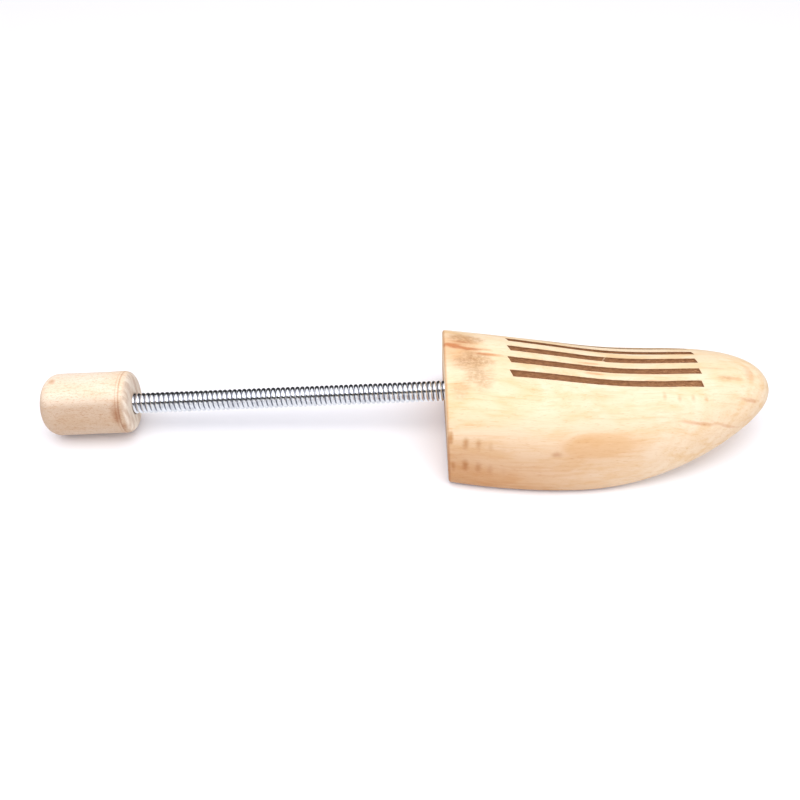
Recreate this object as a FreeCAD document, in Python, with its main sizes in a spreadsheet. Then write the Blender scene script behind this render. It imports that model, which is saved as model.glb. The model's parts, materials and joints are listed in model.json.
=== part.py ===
import FreeCAD, Part
import math
import os
import Sketcher
from FreeCAD import Placement, Rotation, Vector

# Sprung shoe tree for a right shoe: a wooden toe block and a turned wooden heel knob on the two
# ends of one long, nearly closed coil spring, each end of the spring tight in a blind bore.
# Frame: +X towards the toe, +Y towards the inner side of the foot, +Z up.  The origin is on the
# ground, in the middle of the footprint.  The block stands on its flat sole and the knob lies on
# the same ground, so the straight spring slopes down towards the knob.

DIMENSIONS = (
    # name in the sheet, value in millimetres (angles in degrees)
    ("mouth_x", 17.95),          # where the spring's axis leaves the block's back face
    ("mouth_y", 4.25),
    ("mouth_z", 22.53),
    ("spring_slope", 2.9),     # angle by which the spring drops towards the knob
    # toe block
    ("block_length", 152.9),
    ("back_height", 49.7),      # crown above the sole at the back face
    ("toe_height", 36.1),       # crown above the sole where the instep has levelled out
    ("instep_end", 0.592),       # share of the length where it has levelled out
    ("instep_softness", 0.15),  # how gently it levels out
    ("outer_back", 39.9),       # half widths on the outer side of the foot
    ("outer_waist", 45.8),
    ("outer_toe", 31.2),
    ("inner_back", 35.6),       # half widths on the inner side
    ("inner_waist", 36.8),
    ("inner_toe", 35.4),
    ("plan_closing", 3.9),      # exponents that round the toe off in plan and in profile
    ("crown_closing", 3.6),
    ("toe_spring", 20.8),       # height of the tip above the ground
    ("toe_spring_start", 0.433),
    ("toe_spring_curve", 1.59),
    ("toe_offset", 1.9),        # sideways shift of the tip to the inner side
    ("toe_offset_curve", 2.5),
    ("ridge_offset", 7.7),      # sideways shift of the crown's ridge at the back
    ("edge_share", 0.141),      # height of the widest line, as a share of the section's height
    ("edge_inset", 6.0),        # width of the rounding between the widest line and the sole
    ("edge_inset_share", 0.6),  # the most it may be of the section's half width
    # how each side of a section runs, as shares of its width or height, at the back and the toe
    ("lean_back", 0.07),        # how far it has leaned in by its shoulder
    ("lean_toe", 0.01),
    ("shoulder_back", 0.475),    # height of the shoulder
    ("shoulder_toe", 0.564),
    ("flat_back", 0.414),        # how far the flat of the crown reaches out from the ridge
    ("flat_toe", 0.535),
    ("sole_recess", 0.6),       # stock below the ground that the sole is planed from
    ("back_round", 1.2),        # rounding around the back face
    # grooves across the crown
    ("groove_width", 3.4),
    ("groove_depth", 1.1),
    ("groove_spacing", 7.0),
    ("groove_middle", 4.1),     # sideways place of the middle groove
    ("groove_start", 28.6),     # distances from the back face
    ("groove_end", 116.5),
    ("groove_skew", 0.4),       # how far the groove's ends lean, per unit of width
    # spring
    ("spring_diameter", 9.7),   # over the outside of the coils
    ("wire_diameter", 2.1),
    ("spring_pitch", 2.3),
    ("spring_free", 146.8),    # length between the two wooden faces
    ("spring_seat", 13.0),      # length held in each bore
    ("cut_gap", 0.04),
    # stretches of the spring that stand for its flexing, repeated three times along it
    ("lead_in", 3.0),
    ("lift_zone", 14.0),
    ("swing_zone", 11.0),
    ("squeeze_zone", 22.0),
    # bores
    ("bore_diameter", 9.9),
    ("bore_depth", 14.3),
    ("knob_bore_drop", 1.3),    # the knob's bore lies this far below its middle
    # heel knob
    ("knob_diameter", 29.3),
    ("knob_length", 41.8),
    ("knob_front_depth", 3.0),  # the domed front ends this far back, in a crease
    ("knob_front_round", 4.0),
    ("knob_rear_round", 7.0),
)

ZONES = 3                       # repeats of the lift, swing and squeeze stretches
GROOVES = 5
WASTE = 200.0                   # size of the stock cut away behind and below the block
CLEAR = 20.0                    # how far a cutting tool reaches past the surface it cuts
PLAN_LINES = ("back", "waist", "toe")

doc = FreeCAD.newDocument("ShoeTree")
sheet = doc.addObject("Spreadsheet::Sheet", "Dimensions")
for row, (alias, value) in enumerate(DIMENSIONS, start=1):
    sheet.set("A%d" % row, str(value))
    sheet.setAlias("A%d" % row, alias)
doc.recompute()


def size(alias):
    """A dimension's value, read from the sheet."""
    return float(sheet.get(alias))


# ---------------------------------------------------------------- frame of the spring
# Local Z of the spring frame runs from the block's back face towards the knob, local Y is the
# row's Y, and local X points up, square to the spring.
SPRING_FRAME = Placement(
    Vector(size("mouth_x"), size("mouth_y"), size("mouth_z")),
    Rotation(Vector(0, 1, 0), -(90 + size("spring_slope"))),
)


def along_spring(distance, turn=0.0):
    """Placement on the spring's axis, this far from the block's back face."""
    step = Placement(Vector(0, 0, distance), Rotation(Vector(0, 0, 1), turn))
    return SPRING_FRAME.multiply(step)


# ---------------------------------------------------------------- form of the toe block
# The form is described in block axes: x from the bore's mouth towards the toe, y towards the
# inner side, z up from the ground.  "share" is x as a share of the block's length.
def through_three(back, waist, toe, share):
    """Parabola with these values at the back, at a third of the length and at the toe."""
    bend = (toe - back - 3 * (waist - back)) * 1.5
    return back + (toe - back - bend) * share + bend * share ** 2


def back_to_toe(name, share):
    """Straight change from a value at the back to the value at the toe."""
    return size(name + "_back") + (size(name + "_toe") - size(name + "_back")) * share


def closing(share, exponent):
    """Rounds the toe off: 1 at the back, 0 at the tip."""
    return math.sqrt(max(0.0, 1 - max(share, 0.0) ** exponent))


def section_sizes(share):
    """Sizes of the block's cross-section at this share of its length."""
    plan = closing(share, size("plan_closing"))
    fall = 1 - share / size("instep_end")
    soft_fall = (fall + math.hypot(fall, size("instep_softness"))) / 2
    crown = size("toe_height") + (size("back_height") - size("toe_height")) * soft_fall
    rise = (share - size("toe_spring_start")) / (1 - size("toe_spring_start"))
    outer = through_three(*(size("outer_" + line) for line in PLAN_LINES), share)
    inner = through_three(*(size("inner_" + line) for line in PLAN_LINES), share)
    middle = size("toe_offset") * max(share, 0.0) ** size("toe_offset_curve")
    return {
        "height": crown * closing(share, size("crown_closing")),
        "outer": middle - outer * plan,
        "inner": middle + inner * plan,
        "ridge": middle + size("ridge_offset") * (1 - share),
        "ground": size("toe_spring") * max(0.0, rise) ** size("toe_spring_curve"),
        "lean": back_to_toe("lean", share),
        "shoulder": back_to_toe("shoulder", share),
        "flat": back_to_toe("flat", share),
    }


def side_poles(sizes, edge_y):
    """Bezier poles (y, z) of one side of a section, from its widest line up to the ridge."""
    widest = sizes["ground"] + size("edge_share") * sizes["height"]
    top = sizes["ground"] + sizes["height"]
    reach = edge_y - sizes["ridge"]
    return (
        (edge_y, widest),
        (edge_y - reach * sizes["lean"], widest + (top - widest) * sizes["shoulder"]),
        (sizes["ridge"] + reach * sizes["flat"], top),
        (sizes["ridge"], top),
    )


def corner_poles(sizes, edge_y, floor):
    """Bezier poles (y, z) of the rounding from a section's widest line in to the sole."""
    widest = side_poles(sizes, edge_y)[0][1]
    reach = edge_y - sizes["ridge"]
    inset = min(size("edge_inset"), size("edge_inset_share") * abs(reach))
    foot_y = edge_y - math.copysign(inset, reach)
    return ((edge_y, widest), (edge_y, floor), (foot_y, floor))


def section_strips(share):
    """Poles of the five curves round a section: two sides, two corners and the sole."""
    sizes = section_sizes(share)
    floor = sizes["ground"] - size("sole_recess") * closing(share, size("crown_closing"))
    outer_side = side_poles(sizes, sizes["outer"])
    inner_side = side_poles(sizes, sizes["inner"])[::-1]
    inner_corner = corner_poles(sizes, sizes["inner"], floor)
    outer_corner = corner_poles(sizes, sizes["outer"], floor)[::-1]
    sole = (inner_corner[-1], outer_corner[0])
    x = share * size("block_length")
    return [[Vector(x, y, z) for y, z in strip]
            for strip in (outer_side, inner_side, inner_corner, sole, outer_corner)]


def crown_height(x, y):
    """Height of the block's upper surface above the ground at this place."""
    sizes = section_sizes(x / size("block_length"))
    edge_y = sizes["outer"] if y < sizes["ridge"] else sizes["inner"]
    poles = side_poles(sizes, edge_y)
    low, high = 0.0, 1.0
    for _ in range(40):
        middle = (low + high) / 2
        weights = ((1 - middle) ** 3, 3 * middle * (1 - middle) ** 2,
                   3 * middle ** 2 * (1 - middle), middle ** 3)
        reached = sum(weight * pole[0] for weight, pole in zip(weights, poles))
        if abs(reached - sizes["ridge"]) > abs(y - sizes["ridge"]):
            low = middle
        else:
            high = middle
    return sum(weight * pole[1] for weight, pole in zip(weights, poles))


def toe_form():
    """Smooth solid of the whole toe form, longer than the block at the back.

    Five cubic B-spline strips run from behind the back face to the tip.  Their poles are those
    of cross-sections spaced evenly in angle, so the sections get closer towards the tip.
    """
    spans = 14
    first = -0.15
    places = [0, 1 / 3] + list(range(1, spans)) + [spans - 1 / 3]
    shares = [math.sin(first + (math.pi / 2 - first) * place / spans) for place in places]
    sections = [section_strips(share) for share in shares]
    length = size("block_length")
    tip = Vector(length, size("toe_offset"), size("toe_spring"))
    faces = []
    rim = []
    for strip in range(len(sections[0])):
        rows = [section[strip] for section in sections]
        rows[-1] = [Vector(length, pole.y, pole.z) for pole in rows[-1]]
        rows.append([tip] * len(rows[0]))
        degree = len(rows[0]) - 1
        surface = Part.BSplineSurface()
        surface.buildFromPolesMultsKnots(
            rows, [4] + [1] * (spans - 1) + [4], [degree + 1] * 2,
            list(range(spans + 1)), [0, 1], False, False, 3, degree)
        faces.append(surface.toShape())
        rim.append(surface.uIso(0).toShape())
    faces.append(Part.Face(Part.Wire(Part.__sortEdges__(rim))))
    shell = Part.Shell(faces)
    shell.sewShape()
    return Part.Solid(shell)


def groove_tool(number):
    """Prism that cuts one groove: its floor runs parallel to the crown."""
    y = size("groove_middle") + (number - (GROOVES - 1) / 2) * size("groove_spacing")
    middle_x = (size("groove_start") + size("groove_end")) / 2
    slope = math.atan((crown_height(middle_x, y + 1) - crown_height(middle_x, y - 1)) / 2)
    steps = 6
    length = size("groove_end") - size("groove_start")
    stations = [size("groove_start") + length * step / steps for step in range(steps + 1)]
    floor = [Vector(x, y, crown_height(x, y) - size("groove_depth")) for x in stations]
    clear = Vector(0, 0, CLEAR)
    spline = Part.BSplineCurve()
    spline.interpolate(floor)
    outline = Part.Wire([
        spline.toShape(),
        Part.LineSegment(floor[-1], floor[-1] + clear).toShape(),
        Part.LineSegment(floor[-1] + clear, floor[0] + clear).toShape(),
        Part.LineSegment(floor[0] + clear, floor[0]).toShape(),
    ])
    width = size("groove_width")
    across = Vector(-size("groove_skew") * width, math.cos(slope) * width, math.sin(slope) * width)
    outline.translate(across * -0.5)
    return Part.Face(outline).extrude(across)


def make_feature(name, shape, placement):
    feature = doc.addObject("Part::Feature", name)
    feature.Shape = shape
    feature.Placement = placement
    return feature


def make_cut(name, base, tool):
    cut = doc.addObject("Part::Cut", name)
    cut.Base = base
    cut.Tool = tool
    return cut


def make_box(name, placement):
    """Cube of waste."""
    box = doc.addObject("Part::Box", name)
    box.Length = WASTE
    box.Width = WASTE
    box.Height = WASTE
    box.Placement = placement
    return box


def make_cylinder(name, diameter, height, placement):
    """Cylinder with both sizes bound to the sheet."""
    cylinder = doc.addObject("Part::Cylinder", name)
    cylinder.setExpression("Radius", "Dimensions.%s / 2" % diameter)
    cylinder.setExpression("Height", height)
    cylinder.Placement = placement
    return cylinder


def round_back_face(name, base):
    """Rounds the outline of the face that the spring comes out of."""
    doc.recompute()
    edges = []
    for face in base.Shape.Faces:
        centre = SPRING_FRAME.inverse().multVec(face.CenterOfMass)
        if isinstance(face.Surface, Part.Plane) and abs(centre.z) < 0.01:
            edges += face.Edges
    numbers = [index for index, edge in enumerate(base.Shape.Edges, start=1)
               if any(edge.isSame(other) for other in edges)]
    fillet = doc.addObject("Part::Fillet", name)
    fillet.Base = base
    fillet.Edges = [(number, size("back_round"), size("back_round")) for number in numbers]
    return fillet


BLOCK_FRAME = Placement(Vector(size("mouth_x"), size("mouth_y"), 0), Rotation())


def build_toe_block():
    form = make_feature("ToeForm", toe_form(), BLOCK_FRAME)
    behind = Placement(Vector(-WASTE / 2, -WASTE / 2, 0), Rotation())
    waste = make_box("BackWaste", SPRING_FRAME.multiply(behind))
    squared = make_cut("SquaredForm", form, waste)
    below = Placement(Vector(0, -WASTE / 2, -WASTE), Rotation())
    ground = make_box("GroundWaste", below)
    planed = make_cut("PlanedForm", squared, ground)
    rounded = round_back_face("RoundedForm", planed)
    bore = make_cylinder("BlockBore", "bore_diameter", "Dimensions.bore_depth + %g" % CLEAR,
                         along_spring(-size("bore_depth")))
    block = make_cut("BoredForm", rounded, bore)
    for number in range(GROOVES):
        tool = make_feature("GrooveTool%d" % number, groove_tool(number), BLOCK_FRAME)
        block = make_cut("GroovedForm%d" % number, block, tool)
    block.Label = "toe_block"
    return block


def origin_feature(body, role):
    return [item for item in body.Origin.OriginFeatures if item.Role == role][0]


def attached_sketch(body, name, role):
    sketch = body.newObject("Sketcher::SketchObject", name)
    sketch.AttachmentSupport = [(origin_feature(body, role), "")]
    sketch.MapMode = "FlatFace"
    return sketch


def bind(sketch, constraint, expression):
    """Adds a constraint whose value follows the sheet."""
    index = sketch.addConstraint(constraint)
    sketch.setExpression("Constraints[%d]" % index, expression)


def circle_at(sketch, radius, radius_text, offset, offset_text, side=1):
    """Circle with its centre on the sketch's horizontal axis, centre and radius bound."""
    centre = Vector(offset * side, 0, 0)
    circle = sketch.addGeometry(Part.Circle(centre, Vector(0, 0, 1), radius))
    ends = (-1, 1, circle, 3) if side > 0 else (circle, 3, -1, 1)
    bind(sketch, Sketcher.Constraint("Radius", circle, radius), radius_text)
    bind(sketch, Sketcher.Constraint("DistanceX", *ends, offset), offset_text)
    sketch.addConstraint(Sketcher.Constraint("PointOnObject", circle, 3, -1))


def value_of(expression):
    return float(sheet.evalExpression(expression))


def cut_places():
    """Where the spring is divided, as expressions: its two ends and each stretch's middle."""
    lift, swing, squeeze = (
        "Dimensions.%s_zone" % name for name in ("lift", "swing", "squeeze"))
    repeat = "(%s + %s + %s)" % (lift, swing, squeeze)
    places = ["0 - Dimensions.spring_seat"]
    for number in range(ZONES):
        start = "Dimensions.lead_in + %d * %s" % (number, repeat)
        places.append("%s + %s / 2" % (start, lift))
        places.append("%s + %s + %s / 2" % (start, lift, swing))
        places.append("%s + %s + %s + %s / 2" % (start, lift, swing, squeeze))
    places.append("Dimensions.spring_free + Dimensions.spring_seat")
    return places


def build_spring_segment(number, start, end):
    """One stretch of the spring, between two places along it."""
    body = doc.addObject("PartDesign::Body", "SpringSegment%02d" % number)
    body.Label = "coil_spring_%02d" % number
    sketch = attached_sketch(body, "WireSection%02d" % number, "XZ_Plane")
    mean = "(Dimensions.spring_diameter - Dimensions.wire_diameter) / 2"
    wire = "Dimensions.wire_diameter / 2"
    circle_at(sketch, value_of(wire), wire, value_of(mean), mean)
    doc.recompute()
    coils = body.newObject("PartDesign::AdditiveHelix", "Coils%02d" % number)
    coils.Profile = sketch
    coils.ReferenceAxis = (origin_feature(body, "Z_Axis"), [""])
    coils.Mode = "pitch-height-angle"
    coils.setExpression("Pitch", "Dimensions.spring_pitch")
    coils.setExpression("Height", "(%s) - (%s) - Dimensions.cut_gap" % (end, start))
    distance = value_of(start)
    body.Placement = along_spring(distance, 360 * distance / size("spring_pitch"))
    return body


def knob_profile(sketch):
    """Half section of the knob: front face, its dome, side, domed rear, rear face, axis."""
    radius = size("knob_diameter") / 2
    length = size("knob_length")
    front = size("knob_front_round")
    depth = size("knob_front_depth")
    rear = size("knob_rear_round")
    reach = math.sqrt(front ** 2 - (front - depth) ** 2)
    corners = (
        Vector(0, 0, 0), Vector(radius - reach, 0, 0), Vector(radius, depth, 0),
        Vector(radius, length - rear, 0), Vector(radius - rear, length, 0), Vector(0, length, 0),
    )
    face = sketch.addGeometry(Part.LineSegment(corners[0], corners[1]))
    front_arc = sketch.addGeometry(Part.ArcOfCircle(
        Part.Circle(Vector(radius - reach, front, 0), Vector(0, 0, 1), front),
        -math.pi / 2, math.atan2(depth - front, reach)))
    side = sketch.addGeometry(Part.LineSegment(corners[2], corners[3]))
    rear_arc = sketch.addGeometry(Part.ArcOfCircle(
        Part.Circle(Vector(radius - rear, length - rear, 0), Vector(0, 0, 1), rear), 0, math.pi / 2))
    back = sketch.addGeometry(Part.LineSegment(corners[4], corners[5]))
    axis = sketch.addGeometry(Part.LineSegment(corners[5], corners[0]))
    sketch.addConstraint([
        Sketcher.Constraint("Coincident", face, 1, -1, 1),
        Sketcher.Constraint("Horizontal", face),
        Sketcher.Constraint("Vertical", side),
        Sketcher.Constraint("Horizontal", back),
        Sketcher.Constraint("Vertical", axis),
        Sketcher.Constraint("Tangent", face, 2, front_arc, 1),
        Sketcher.Constraint("Coincident", front_arc, 2, side, 1),
        Sketcher.Constraint("Tangent", side, 2, rear_arc, 1),
        Sketcher.Constraint("Tangent", rear_arc, 2, back, 1),
        Sketcher.Constraint("Coincident", back, 2, axis, 1),
        Sketcher.Constraint("Coincident", axis, 2, face, 1),
    ])
    bind(sketch, Sketcher.Constraint("Radius", front_arc, front), "Dimensions.knob_front_round")
    bind(sketch, Sketcher.Constraint("Radius", rear_arc, rear), "Dimensions.knob_rear_round")
    bind(sketch, Sketcher.Constraint("DistanceY", face, 1, side, 1, depth),
         "Dimensions.knob_front_depth")
    bind(sketch, Sketcher.Constraint("DistanceX", axis, 2, side, 1, radius),
         "Dimensions.knob_diameter / 2")
    bind(sketch, Sketcher.Constraint("DistanceY", face, 1, back, 1, length),
         "Dimensions.knob_length")


def make_pocket(body, name, sketch, depth, reversed_side):
    """Pocket that must take material away."""
    before = body.Shape.Volume
    pocket = body.newObject("PartDesign::Pocket", name)
    pocket.Profile = sketch
    pocket.Reversed = reversed_side
    pocket.setExpression("Length", depth)
    doc.recompute()
    if body.Shape.Volume >= before:
        raise RuntimeError(name + " cuts nothing")


def build_heel_knob():
    body = doc.addObject("PartDesign::Body", "HeelKnob")
    body.Label = "heel_knob"
    profile = attached_sketch(body, "KnobProfile", "XZ_Plane")
    knob_profile(profile)
    doc.recompute()
    turned = body.newObject("PartDesign::Revolution", "TurnedKnob")
    turned.Profile = profile
    turned.ReferenceAxis = (profile, ["V_Axis"])
    turned.Angle = 360
    doc.recompute()
    bore = attached_sketch(body, "KnobBoreCircle", "XY_Plane")
    circle_at(bore, size("bore_diameter") / 2, "Dimensions.bore_diameter / 2",
              size("knob_bore_drop"), "Dimensions.knob_bore_drop", side=-1)
    make_pocket(body, "KnobBore", bore, "Dimensions.bore_depth", True)
    above = Placement(Vector(size("knob_bore_drop"), 0, 0), Rotation())
    body.Placement = along_spring(size("spring_free")).multiply(above)
    return body


def build_spring():
    places = cut_places()
    return [build_spring_segment(number, places[number - 1], places[number])
            for number in range(1, len(places))]


parts = [
    build_toe_block(),
    build_heel_knob(),
]
parts += build_spring()
doc.recompute()

for item in doc.Objects:
    if "Invalid" in item.State or "Error" in item.State:
        raise RuntimeError("%s: %s" % (item.Name, item.State))
for part in parts:
    if part.Shape.isNull() or not part.Shape.isValid():
        raise RuntimeError(part.Label + " has no valid shape")

os.makedirs("parts", exist_ok=True)
for part in parts:
    part.Shape.exportStep("parts/%s.step" % part.Label)
    print("%-16s %9.1f mm3, %d solid" % (part.Label, part.Shape.Volume, len(part.Shape.Solids)))
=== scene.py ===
import json
import math

import bpy
import numpy as np
from mathutils import Matrix, Vector


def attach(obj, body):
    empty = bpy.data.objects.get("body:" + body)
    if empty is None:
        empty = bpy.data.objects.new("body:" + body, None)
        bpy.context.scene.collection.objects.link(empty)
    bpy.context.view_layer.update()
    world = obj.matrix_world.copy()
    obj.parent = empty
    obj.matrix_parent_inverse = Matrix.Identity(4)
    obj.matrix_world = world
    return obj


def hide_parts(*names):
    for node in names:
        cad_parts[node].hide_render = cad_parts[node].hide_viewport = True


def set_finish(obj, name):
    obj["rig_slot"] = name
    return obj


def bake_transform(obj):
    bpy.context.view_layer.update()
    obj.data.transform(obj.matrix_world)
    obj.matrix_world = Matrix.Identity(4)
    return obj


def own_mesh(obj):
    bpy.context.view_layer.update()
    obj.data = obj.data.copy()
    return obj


# Looks of a sprung wooden shoe tree.  Lengths in this file are millimetres in the row frame
# (+X towards the toe, +Y towards the inner side, +Z up) until a mesh is made.

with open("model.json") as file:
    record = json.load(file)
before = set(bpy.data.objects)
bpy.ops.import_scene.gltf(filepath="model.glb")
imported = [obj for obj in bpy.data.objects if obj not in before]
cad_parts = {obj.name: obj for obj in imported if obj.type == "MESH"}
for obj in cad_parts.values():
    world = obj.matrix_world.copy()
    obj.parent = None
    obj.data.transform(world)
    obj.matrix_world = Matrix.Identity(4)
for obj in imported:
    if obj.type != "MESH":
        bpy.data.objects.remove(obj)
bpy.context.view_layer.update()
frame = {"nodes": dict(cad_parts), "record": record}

MM = 0.001

# Spring frame: the distance along the spring is counted from the block's back face to the knob.
MOUTH = np.array((17.95, 4.25, 22.53))
SLOPE = math.radians(2.9)
ALONG = np.array((-math.cos(SLOPE), 0.0, -math.sin(SLOPE)))
ABOVE = np.array((-math.sin(SLOPE), 0.0, math.cos(SLOPE)))
INWARD = np.array((0.0, 1.0, 0.0))


def by_spring(distance, above=0.0, inward=0.0):
    """Points given along the spring and square to it, in the row frame."""
    distance, above, inward = np.broadcast_arrays(distance, above, inward)
    return (MOUTH + distance[..., None] * ALONG + above[..., None] * ABOVE
            + inward[..., None] * INWARD)


# ---------------------------------------------------------------- meshes
def band_faces(rings, points, first=0):
    """Quads that join closed rings of points, one ring after the other."""
    ring = np.arange(rings - 1)[:, None] * points + first
    here = np.arange(points)[None, :]
    ahead = (here + 1) % points
    quads = np.stack((ring + here, ring + ahead, ring + points + ahead, ring + points + here), -1)
    return quads.reshape(-1, 4).tolist()


def fan_faces(hub, ring_start, points):
    """Triangles from one point to a closed ring."""
    return [(hub, ring_start + (n + 1) % points, ring_start + n) for n in range(points)]


def make_piece(name, points, faces, flat=(), values=None):
    """Mesh object from points in millimetres, with its faces turned outwards."""
    mesh = bpy.data.meshes.new(name)
    mesh.from_pydata((np.asarray(points, float) * MM).tolist(), [], faces)
    mesh.validate()
    corners = np.asarray(points, float)
    volume = sum(np.dot(corners[f[0]], np.cross(corners[f[1]], corners[f[2]]))
                 + (np.dot(corners[f[0]], np.cross(corners[f[2]], corners[f[3]]))
                    if len(f) == 4 else 0.0) for f in faces[::7])
    smooth = np.ones(len(mesh.polygons), bool)
    smooth[list(flat)] = False
    mesh.polygons.foreach_set("use_smooth", smooth)
    if volume < 0:
        mesh.flip_normals()
    for key, numbers in (values or {}).items():
        attribute = mesh.attributes.new(key, "FLOAT", "POINT")
        attribute.data.foreach_set("value", np.asarray(numbers, np.float32))
    piece = bpy.data.objects.new(name, mesh)
    bpy.context.scene.collection.objects.link(piece)
    return piece


def wander(places, step, seed):
    """Smooth random line with values of about -1 to 1 and features of this size."""
    places = np.asarray(places, float)
    draws = np.random.default_rng(seed).uniform(-1, 1, 400)
    left = np.floor(places / step).astype(int)
    part = smoothstep(places / step - left)
    return draws[left % 400] * (1 - part) + draws[(left + 1) % 400] * part


def smoothstep(value):
    value = np.clip(value, 0, 1)
    return value * value * (3 - 2 * value)


# ---------------------------------------------------------------- form of the toe block
# Block axes: x from the bore's mouth towards the toe, y towards the inner side, z up.
LENGTH = 152.9
BACK_HEIGHT, TOE_HEIGHT = 49.7, 36.1
INSTEP_END, INSTEP_SOFTNESS = 0.592, 0.15
OUTER = (39.9, 45.8, 31.2)      # half widths at the back, the middle and the toe
INNER = (35.6, 36.8, 35.4)
PLAN_CLOSING, CROWN_CLOSING = 3.9, 3.6
TOE_SPRING = 20.8               # height of the tip above the ground
TOE_SPRING_START, TOE_SPRING_RUN, TOE_SPRING_CURVE = 0.433, 0.567, 1.59
TOE_OFFSET, TOE_OFFSET_CURVE = 1.9, 2.5
RIDGE_OFFSET = 7.7
EDGE_SHARE = 0.141
EDGE_INSET, EDGE_INSET_SHARE = 6.0, 0.6
SOLE_RECESS = 0.6
BACK_ROUND = 1.2
BORE_RADIUS, BORE_DEPTH = 4.95, 14.3
SPANS = 14
FIRST_ANGLE = -0.15
# strips round a section: outer side, inner side, inner corner, sole, outer corner
OUTER_SIDE, INNER_SIDE, INNER_CORNER, OUTER_CORNER = range(4)


def closing(share, exponent):
    return math.sqrt(max(0.0, 1 - max(share, 0.0) ** exponent))


def through_three(three, share):
    back, waist, toe = three
    bend = (toe - back - 3 * (waist - back)) * 1.5
    return back + (toe - back - bend) * share + bend * share ** 2


def section_poles(share):
    """Bezier poles (y, z) of the sides, edge to ridge, and of the corners, edge to sole."""
    fall = 1 - share / INSTEP_END
    soft_fall = (fall + math.hypot(fall, INSTEP_SOFTNESS)) / 2
    end = closing(share, CROWN_CLOSING)
    height = (TOE_HEIGHT + (BACK_HEIGHT - TOE_HEIGHT) * soft_fall) * end
    risen = max(0.0, (share - TOE_SPRING_START) / TOE_SPRING_RUN)
    ground = TOE_SPRING * risen ** TOE_SPRING_CURVE
    middle = TOE_OFFSET * max(share, 0.0) ** TOE_OFFSET_CURVE
    ridge = middle + RIDGE_OFFSET * (1 - share)
    plan = closing(share, PLAN_CLOSING)
    edges = (middle - through_three(OUTER, share) * plan,
             middle + through_three(INNER, share) * plan)
    widest = ground + EDGE_SHARE * height
    top = ground + height
    floor = ground - SOLE_RECESS * end
    strips = []
    for edge in edges:
        reach = edge - ridge
        strips.append((
            (edge, widest),
            (edge - reach * (0.07 - 0.06 * share),
             widest + (top - widest) * (0.475 + 0.089 * share)),
            (ridge + reach * (0.414 + 0.121 * share), top),
            (ridge, top),
        ))
    for edge in edges[::-1]:
        reach = edge - ridge
        inset = min(EDGE_INSET, EDGE_INSET_SHARE * abs(reach))
        foot = edge - math.copysign(inset, reach)
        strips.append(((edge, widest), (edge, floor), (foot, floor)))
    return strips


def form_rows():
    """Poles (x, y, z) of the form's four curved strips, from behind the back to the tip."""
    places = [0, 1 / 3] + list(range(1, SPANS)) + [SPANS - 1 / 3]
    shares = [math.sin(FIRST_ANGLE + (math.pi / 2 - FIRST_ANGLE) * place / SPANS)
              for place in places]
    sections = [section_poles(share) for share in shares]
    rows = []
    for strip in range(4):
        poles = [[(LENGTH * share, y, z) for y, z in section[strip]]
                 for share, section in zip(shares, sections)]
        poles[-1] = [(LENGTH, y, z) for x, y, z in poles[-1]]
        poles.append([(LENGTH, TOE_OFFSET, TOE_SPRING)] * len(poles[0]))
        rows.append(np.array(poles))
    return rows


ROWS = form_rows()


def row_weights(v):
    """Clamped cubic B-spline weights of the rows; v is 0 behind the back and SPANS at the tip."""
    knots = np.concatenate(([0] * 3, np.arange(SPANS + 1), [SPANS] * 3)).astype(float)
    v = np.clip(np.asarray(v, float), 0, SPANS - 1e-9)
    weights = [((knots[i] <= v) & (v < knots[i + 1])).astype(float)
               for i in range(len(knots) - 1)]
    for degree in (1, 2, 3):
        higher = []
        for i in range(len(weights) - 1):
            rise = knots[i + degree] - knots[i]
            drop = knots[i + degree + 1] - knots[i + 1]
            up = (v - knots[i]) / rise * weights[i] if rise else 0.0
            down = (knots[i + degree + 1] - v) / drop * weights[i + 1] if drop else 0.0
            higher.append(up + down)
        weights = higher
    return np.stack(weights, -1)


def poles_at(strip, v):
    return np.tensordot(row_weights(v), ROWS[strip], axes=(-1, 0))


def on_curve(poles, t):
    """Point of the Bezier curves with these poles (..., pole, axis) at t."""
    degree = poles.shape[-2] - 1
    t = np.asarray(t, float)[..., None]
    total = 0.0
    for k in range(degree + 1):
        total = total + math.comb(degree, k) * t ** k * (1 - t) ** (degree - k) * poles[..., k, :]
    return total


V_TABLE = np.linspace(0, SPANS, 4001)
X_TABLE = poles_at(OUTER_SIDE, V_TABLE)[:, 0, 0]


def v_of(x):
    return np.interp(x, X_TABLE, V_TABLE)


def side_places(v, y):
    """Which side each (v, y) is on, as a mask of the outer one, and its height z there."""
    outer, inner = poles_at(OUTER_SIDE, v), poles_at(INNER_SIDE, v)
    on_outer = y < outer[..., 3, 1]
    poles = np.where(on_outer[..., None, None], outer, inner)
    low, high = np.zeros(np.shape(y)), np.ones(np.shape(y))
    sign = np.where(on_outer, 1.0, -1.0)
    for _ in range(34):
        t = (low + high) / 2
        short = (on_curve(poles, t)[..., 1] - y) * sign < 0
        low = np.where(short, t, low)
        high = np.where(short, high, t)
    return on_outer, (low + high) / 2, poles


# ---------------------------------------------------------------- grooves across the crown
GROOVE_SPACING = 7.0
GROOVE_YS = [4.1 + GROOVE_SPACING * (n - 2) for n in range(5)]
GROOVE_WIDTH, GROOVE_DEPTH = 3.4, 1.1
GROOVE_ENDS = (28.6, 116.5)
START_SHIFTS = (0.9, -0.4, 0.3, -0.7, 0.1)      # how unevenly the grooves start and end
END_SHIFTS = (-0.2, 0.5, -0.3, 0.4, -0.6)
CHIP_X = 73.2                   # a chip lies across the middle groove here
# distance inside the groove's edge, and how deep the wood is there as a share of the depth
WALL = ((-0.45, 0.0), (-0.12, 0.0), (0.0, 0.06), (0.07, 0.62), (0.15, 0.94), (0.45, 1.0))


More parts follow.
